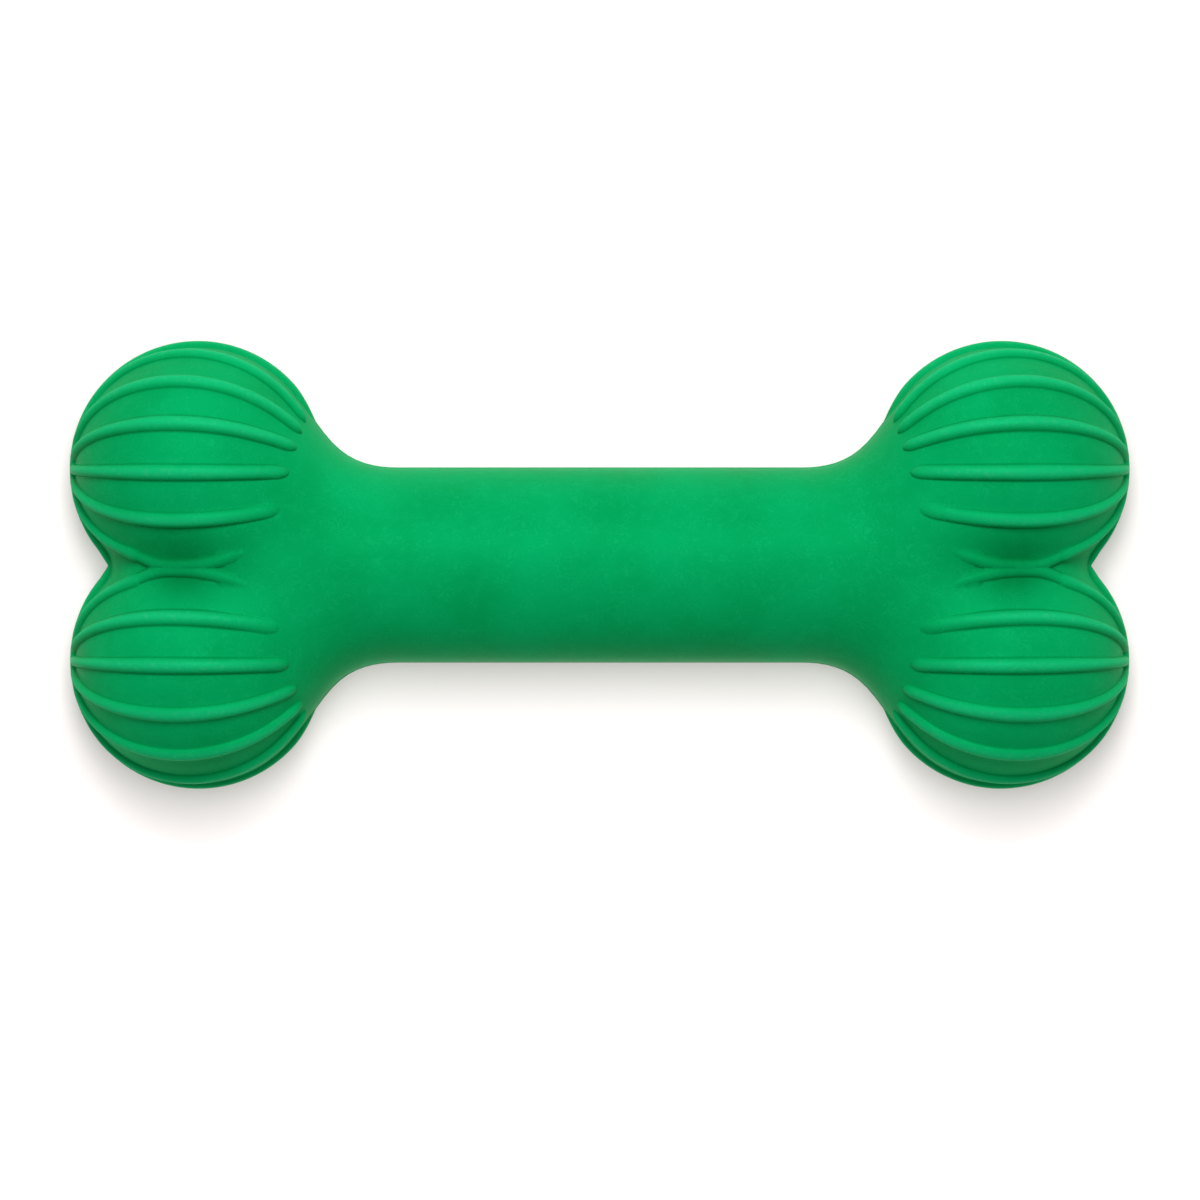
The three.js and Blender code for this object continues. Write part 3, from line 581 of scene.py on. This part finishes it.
def half_of(mesh, side):
    """Half of a closed mesh above or below the parting plane, cut out by a block that begins there."""
    square = np.array([(-1, -1), (1, -1), (1, 1), (-1, 1)]) * 2 * LOBE_X
    block = np.stack([np.column_stack([square, np.full(4, height)]) for height in (0, side * LOBE_X)])
    return combined(mesh.copy(), tube_mesh("block", block), "INTERSECT")


def join_up(shape):
    """Joins the loose triangles of a CAD solid where their corners meet."""
    bmesh.ops.remove_doubles(shape, verts=shape.verts, dist=CAD_MERGE_DISTANCE)


def solid_of(node):
    """Copy of a CAD solid, round the bone's middle, with its loose triangles joined up."""
    mesh = frame["nodes"][node].data.copy()
    mesh.materials.clear()
    mesh.transform(Matrix.Translation((0, 0, -PARTING_Z)))
    return reworked(mesh, join_up)


def shell_mesh(node, bone, cover, side):
    """Half of the bone: the fine skin outside, and the hollow, rim and socket of its CAD solid inside.

    The upper half keeps its tongue, which reaches below the parting plane. The lower half has the vent."""
    hollow = combined(cover.copy(), solid_of(node), "DIFFERENCE")
    shell = combined(half_of(bone, side), hollow, "DIFFERENCE")
    if side > 0:
        below = half_of(cover, -side)
        shell = combined(shell, combined(solid_of(node), below, "INTERSECT"), "UNION")
    else:
        shell = combined(shell, vent_bore(), "DIFFERENCE")
    return shell


def settle(mesh):
    """Lifts a mesh from the bone's middle to its place, and beds its lowest ribs down on the ground."""
    points = points_of(mesh) + np.float32((0, 0, PARTING_Z))
    points[:, 2] = np.maximum(points[:, 2], 0)
    mesh.vertices.foreach_set("co", points.ravel())


def mark_skin(mesh):
    """Writes where each point lies, for the rubber's wear, painted highlight and painted shade, as attributes
    from none to one.

    A crest is the height over the bare bone, in rib heights. A foot, where shade is painted, is where the
    skin rises steeply from the bare bone and has not come far. It fades where the neck rises over the lobes,
    and near the parting plane. Shade is also painted near the plane between two lobes, where both are about
    as far off, below the beads there. It fades off that plane with the third power of one less a square,
    towards the neck with a square, and evenly towards the notch."""
    points = points_of(mesh).astype(float)
    normals = np.empty(points.size, np.float32)
    mesh.vertex_normals.foreach_get("vector", normals)
    normals = normals.reshape(-1, 3)
    crest = np.clip(height_over_bone(points) / RIB_HEIGHT, 0, 1)
    steepness = 1 - np.sum(normals * outward_from(points), axis=-1)
    near_lobe, far_lobe = heights_over_lobes(points)
    on_lobe = np.clip(1 - blended(near_lobe, far_lobe, VALLEY_BLEND) / FOOT_NECK_RISE, 0, 1)
    off_rim = np.clip((np.abs(points[:, 2]) - FOOT_RIM_GAP) / FOOT_RIM_FADE, 0, 1)
    low = np.clip(1 - crest / FOOT_HEIGHT, 0, 1)
    foot = low * np.clip(steepness / FOOT_STEEPNESS, 0, 1) * on_lobe * off_rim
    off_valley = np.clip((near_lobe - far_lobe) / RECESS_WIDTH, -1, 1)
    from_middle = np.abs(points[:, 0])
    past_neck = np.clip((from_middle - RECESS_START_X) / (LOBE_X - RECESS_START_X), 0, 1)
    before_notch = np.clip((RECESS_END_X - from_middle) / RECESS_FADE, 0, 1)
    recess_shade = (1 - off_valley**2) ** 3 * past_neck**2 * before_notch * (1 - crest)
    for name, values in (("crest", crest), ("foot", foot), ("recess_shade", recess_shade)):
        mesh.attributes.new(name, "FLOAT", "POINT").data.foreach_set("value", values.astype(np.float32))


def smooth(mesh):
    """Shades a mesh smooth, apart from its sharp corners."""
    mesh.polygons.foreach_set("use_smooth", np.ones(len(mesh.polygons), bool))
    mesh.set_sharp_from_angle(angle=SHARP_ANGLE)


def new_material(name):
    """New material, its node tree and its shader."""
    material = bpy.data.materials.new(name)
    material.use_nodes = True
    tree = material.node_tree
    return material, tree, tree.nodes["Principled BSDF"]


def add_node(tree, kind, **settings):
    """New node in a tree, with some of its properties set."""
    node = tree.nodes.new(kind)
    for name, value in settings.items():
        setattr(node, name, value)
    return node


def noise(tree, scale, detail=2, distortion=0, stretch=(1, 1, 1)):
    """Output of a noise over the piece's own coordinates, scaled once more along each axis."""
    place = add_node(tree, "ShaderNodeTexCoord")
    mapping = add_node(tree, "ShaderNodeMapping")
    mapping.inputs["Scale"].default_value = stretch
    tree.links.new(place.outputs["Object"], mapping.inputs["Vector"])
    grain = add_node(tree, "ShaderNodeTexNoise")
    grain.inputs["Scale"].default_value = scale
    grain.inputs["Detail"].default_value = detail
    grain.inputs["Distortion"].default_value = distortion
    tree.links.new(mapping.outputs["Vector"], grain.inputs["Vector"])
    return grain.outputs["Fac"]


def attribute(tree, name):
    """Output of an attribute that is written on the piece."""
    return add_node(tree, "ShaderNodeAttribute", attribute_name=name).outputs["Fac"]


def arithmetic(tree, operation, *values):
    """Output of some arithmetic on other outputs and numbers."""
    node = add_node(tree, "ShaderNodeMath", operation=operation)
    for socket, value in zip(node.inputs, values):
        if isinstance(value, (int, float)):
            socket.default_value = value
        else:
            tree.links.new(value, socket)
    return node.outputs["Value"]


def scaled(tree, value, share):
    """Output that is a share of another one."""
    return arithmetic(tree, "MULTIPLY", value, share)


def ranged(tree, value, low, high, to_low=0, to_high=1):
    """Output that follows a value smoothly between the ends of a range, and stays level past them."""
    node = add_node(tree, "ShaderNodeMapRange", interpolation_type="SMOOTHSTEP")
    for name, number in (("From Min", low), ("From Max", high), ("To Min", to_low), ("To Max", to_high)):
        node.inputs[name].default_value = number
    tree.links.new(value, node.inputs["Value"])
    return node.outputs["Result"]


def tinted(tree, colour, share, other):
    """Output that goes from one colour, or other output, to another colour by a share."""
    node = add_node(tree, "ShaderNodeMix", data_type="RGBA")
    tree.links.new(share, node.inputs["Factor"])
    first, second = [socket for socket in node.inputs if socket.type == "RGBA"]
    second.default_value = (*other, 1)
    if isinstance(colour, tuple):
        first.default_value = (*colour, 1)
    else:
        tree.links.new(colour, first)
    return [socket for socket in node.outputs if socket.type == "RGBA"][0]


def add_bump(tree, shader, relief, depth):
    """Bumps of some depth on a shader, that follow an output."""
    bump = add_node(tree, "ShaderNodeBump")
    bump.inputs["Distance"].default_value = depth
    tree.links.new(relief, bump.inputs["Height"])
    tree.links.new(bump.outputs["Normal"], shader.inputs["Normal"])


def curls(tree, scale):
    """Fine curly marks, one along their middle and none beside them.

    They are the lines on which a smooth noise crosses some of its levels, broken up by another noise."""
    steps = scaled(tree, noise(tree, scale, detail=0, distortion=CURL_TWIST), CURL_LEVELS)
    off_line = arithmetic(tree, "PINGPONG", steps, 0.5)
    line = ranged(tree, off_line, *CURL_LINE, 1, 0)
    unbroken = ranged(tree, noise(tree, CURL_BREAK_SCALE * scale, detail=1), *CURL_BREAK_RANGE)
    return arithmetic(tree, "MULTIPLY", line, unbroken)


def rubber_colour(tree, mottle, marks):
    """Green that is mottled, paler on curly marks, paler on crests from wear and a painted highlight, and
    darker in recesses and at feet from painted shade.
    """
    crest, foot, recess_shade = [attribute(tree, name) for name in ("crest", "foot", "recess_shade")]
    colour = tinted(tree, GREEN_DARK, ranged(tree, mottle, *NOISE_RANGE), GREEN_LIGHT)
    # Painted highlight on the crests, together with their wear
    crest_wear_and_highlight = arithmetic(tree, "POWER", crest, CREST_HIGHLIGHT_POWER)
    colour = tinted(tree, colour, scaled(tree, crest_wear_and_highlight, CREST_WEAR_AND_HIGHLIGHT_SHARE), GREEN_WORN_AND_HIGHLIGHT)
    speckle = ranged(tree, noise(tree, SPECKLE_SCALE, detail=3), *SPECKLE_RANGE)
    worn = arithmetic(tree, "MULTIPLY", arithmetic(tree, "POWER", crest, SPECKLE_POWER), speckle)
    colour = tinted(tree, colour, scaled(tree, worn, SPECKLE_SHARE), GREEN_MILKY)
    colour = tinted(tree, colour, scaled(tree, marks, CURL_SHARE), GREEN_WORN_AND_HIGHLIGHT)
    # Painted shade in the valleys between lobes and at the feet of ribs
    colour = tinted(tree, colour, scaled(tree, recess_shade, RECESS_SHADE_SHARE), GREEN_PAINTED_SHADE)
    return tinted(tree, colour, scaled(tree, foot, FOOT_SHADE_SHARE), GREEN_PAINTED_SHADE)


def rubber():
    """Matt green natural rubber: paler on the crests of its ribs from wear and a painted highlight, darker at
    their feet and in the valleys from painted shade, with fine curly marks and a satin grain.
    """
    material, tree, shader = new_material("green_rubber")
    mottle = noise(tree, MOTTLE_SCALE, detail=4)
    grain = noise(tree, GRAIN_SCALE, detail=3)
    marks = arithmetic(tree, "MAXIMUM", *[curls(tree, scale) for scale in CURL_SCALES])
    tree.links.new(rubber_colour(tree, mottle, marks), shader.inputs["Base Color"])

    roughness = ranged(tree, mottle, *NOISE_RANGE, *RUBBER_ROUGHNESS)
    roughness = arithmetic(tree, "ADD", roughness, scaled(tree, grain, GRAIN_ROUGHNESS))
    tree.links.new(roughness, shader.inputs["Roughness"])
    shader.inputs["Metallic"].default_value = RUBBER_METALLIC
    shader.inputs["Specular IOR Level"].default_value = RUBBER_SPECULAR
    shader.inputs["Specular Tint"].default_value = (*RUBBER_SPECULAR_TINT, 1)

    relief = arithmetic(tree, "ADD", grain, scaled(tree, marks, CURL_RELIEF))
    add_bump(tree, shader, relief, GRAIN_DEPTH)
    return material


def seen_directly(tree):
    """Output that is one for what the camera sees, also in a reflection or through glass, and else none."""
    path = add_node(tree, "ShaderNodeLightPath")
    rays = [path.outputs[name] for name in ("Is Camera Ray", "Is Glossy Ray", "Is Transmission Ray")]
    return arithmetic(tree, "MAXIMUM", arithmetic(tree, "MAXIMUM", *rays[:2]), rays[2])


def floor():
    """Pale floor that keeps the toy's shadow, and glows a little near the toy and more further off."""
    corners = FLOOR_REACH * np.array([(-1, -1, 0), (1, -1, 0), (1, 1, 0), (-1, 1, 0)])
    piece = bpy.data.objects.new("floor", mesh_of("floor", corners, [[0, 1, 2, 3]]))
    bpy.context.scene.collection.objects.link(piece)
    material, tree, shader = new_material("pale_floor")
    shader.inputs["Base Color"].default_value = (*FLOOR_COLOUR, 1)
    shader.inputs["Roughness"].default_value = 1
    shader.inputs["Specular IOR Level"].default_value = 0
    shader.inputs["Emission Color"].default_value = (*FLOOR_GLOW_COLOUR, 1)
    place = add_node(tree, "ShaderNodeTexCoord")
    away = add_node(tree, "ShaderNodeVectorMath", operation="LENGTH")
    tree.links.new(place.outputs["Object"], away.inputs[0])
    glow = ranged(tree, away.outputs["Value"], FLOOR_NEAR, FLOOR_FAR, FLOOR_GLOW, FLOOR_FAR_GLOW)
    tree.links.new(glow, shader.inputs["Emission Strength"])
    piece.data.materials.append(material)
    return piece


def lamp(name, size, power, tilt):
    """Soft lamp that points at the toy, tilted from straight above it towards its far side."""
    light = bpy.data.lights.new(name, "AREA")
    light.shape = "RECTANGLE"
    light.size, light.size_y = size
    light.energy = power
    piece = bpy.data.objects.new(name, light)
    away = Vector((0, math.sin(tilt), math.cos(tilt)))
    piece.location = away * LAMP_DISTANCE
    piece.rotation_mode = "QUATERNION"
    piece.rotation_quaternion = away.to_track_quat("Z", "Y")
    bpy.context.scene.collection.objects.link(piece)
    return piece


def lights(ground):
    """Soft lamp above and behind the toy, one above the floor alone, and an even white sky."""
    softbox = lamp("softbox", SOFTBOX_SIZE, SOFTBOX_POWER, SOFTBOX_TILT)
    softbox.data.color = SOFTBOX_COLOUR
    overhead = lamp("overhead", OVERHEAD_SIZE, OVERHEAD_POWER, OVERHEAD_TILT)
    for light, state in ((softbox, "EXCLUDE"), (overhead, "INCLUDE")):
        lit = bpy.data.collections.new("lit_by_" + light.name)
        lit.objects.link(ground)
        lit.collection_objects[0].light_linking.link_state = state
        light.light_linking.receiver_collection = lit

    world = bpy.data.worlds.new("studio")
    bpy.context.scene.world = world
    world.use_nodes = True
    tree = world.node_tree
    sky = tree.nodes["Background"]
    sky.inputs["Color"].default_value = (1, 1, 1, 1)
    strength = add_node(tree, "ShaderNodeMapRange")
    strength.inputs["To Min"].default_value = SKY_STRENGTH
    strength.inputs["To Max"].default_value = 1
    tree.links.new(seen_directly(tree), strength.inputs["Value"])
    tree.links.new(strength.outputs["Result"], sky.inputs["Strength"])


def camera():
    """Long lens straight above the toy, leaning a little towards its far side."""
    lens = bpy.data.cameras.new("camera")
    lens.sensor_width = SENSOR_WIDTH
    lens.lens = SENSOR_WIDTH * CAMERA_DISTANCE / FRAME_WIDTH
    viewer = bpy.data.objects.new("camera", lens)
    away = Vector((0, math.sin(CAMERA_LEAN), math.cos(CAMERA_LEAN)))
    turned = Matrix.Rotation(-CAMERA_LEAN, 4, "X")
    viewer.matrix_world = Matrix.Translation(AIM + away * CAMERA_DISTANCE) @ turned
    lens.clip_end = CAMERA_REACH
    bpy.context.scene.collection.objects.link(viewer)
    bpy.context.scene.camera = viewer


def squeaker_plastic():
    """Satin off-white plastic: clouded by the flow of the moulding, with a fine grain."""
    material, tree, shader = new_material("squeaker_plastic")
    flow = noise(tree, PLASTIC_FLOW_SCALE, detail=3, distortion=PLASTIC_FLOW_TWIST)
    grain = noise(tree, PLASTIC_GRAIN_SCALE)
    colour = tinted(tree, PLASTIC_DARK, ranged(tree, flow, *NOISE_RANGE), PLASTIC_LIGHT)
    tree.links.new(colour, shader.inputs["Base Color"])
    roughness = ranged(tree, grain, *NOISE_RANGE, *PLASTIC_ROUGHNESS)
    tree.links.new(roughness, shader.inputs["Roughness"])
    add_bump(tree, shader, grain, PLASTIC_GRAIN_DEPTH)
    return material


def reed_plastic():
    """Thin smooth sheet: faint streaks along the reed, from rolling."""
    material, tree, shader = new_material("reed_plastic")
    streaks = noise(tree, REED_STREAK_SCALE, stretch=REED_STREAK_STRETCH)
    colour = tinted(tree, REED_DARK, ranged(tree, streaks, *NOISE_RANGE), REED_LIGHT)
    tree.links.new(colour, shader.inputs["Base Color"])
    roughness = ranged(tree, streaks, *NOISE_RANGE, *REED_ROUGHNESS)
    tree.links.new(roughness, shader.inputs["Roughness"])
    add_bump(tree, shader, streaks, PLASTIC_GRAIN_DEPTH)
    return material


def squeaker():
    """Finishes of the squeaker, whose shapes are those of its CAD solids."""
    moulded, rolled = squeaker_plastic(), reed_plastic()
    for node, finish in (
        ("squeaker_cup", moulded),
        ("reed_plate", moulded),
        ("squeaker_cap", moulded),
        ("squeaker_reed", rolled),
    ):
        for place in frame["nodes"][node].material_slots:
            place.material = finish


def shells():
    """Upper and lower half of the rubber bone."""
    fan = bone_fan()
    bone = bone_mesh("bone", fan)
    for side in (1, -1):
        bone = combined(bone, flash(side), "UNION")
    for end in (1, -1):
        bone = combined(bone, rim_bead(end), "UNION")
        for side, half in ((1, 1), (1, -1), (-1, 1), (-1, -1)):
            bone = combined(bone, valley_bead(end, side, half), "UNION")
    plain = tuple(rays[::COVER_RING_STRIDE, ::COVER_LINE_STRIDE] for rays in fan[:2])
    cover = bone_mesh("cover", (*plain, 0), COVER_DEPTH)
    finish = rubber()
    for name, node, side in (("upper_skin", "upper_shell", 1), ("lower_skin", "lower_shell", -1)):
        mesh = shell_mesh(node, bone, cover, side)
        mark_skin(mesh)
        settle(mesh)
        smooth(mesh)
        mesh.materials.clear()
        mesh.materials.append(finish)
        skin = bpy.data.objects.new(name, mesh)
        bpy.context.scene.collection.objects.link(skin)
        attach(skin, "bone")
        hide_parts(node)
    bpy.data.meshes.remove(bone)
    bpy.data.meshes.remove(cover)


shells()
squeaker()
lights(floor())
camera()
bpy.context.scene.view_settings.view_transform = "Standard"
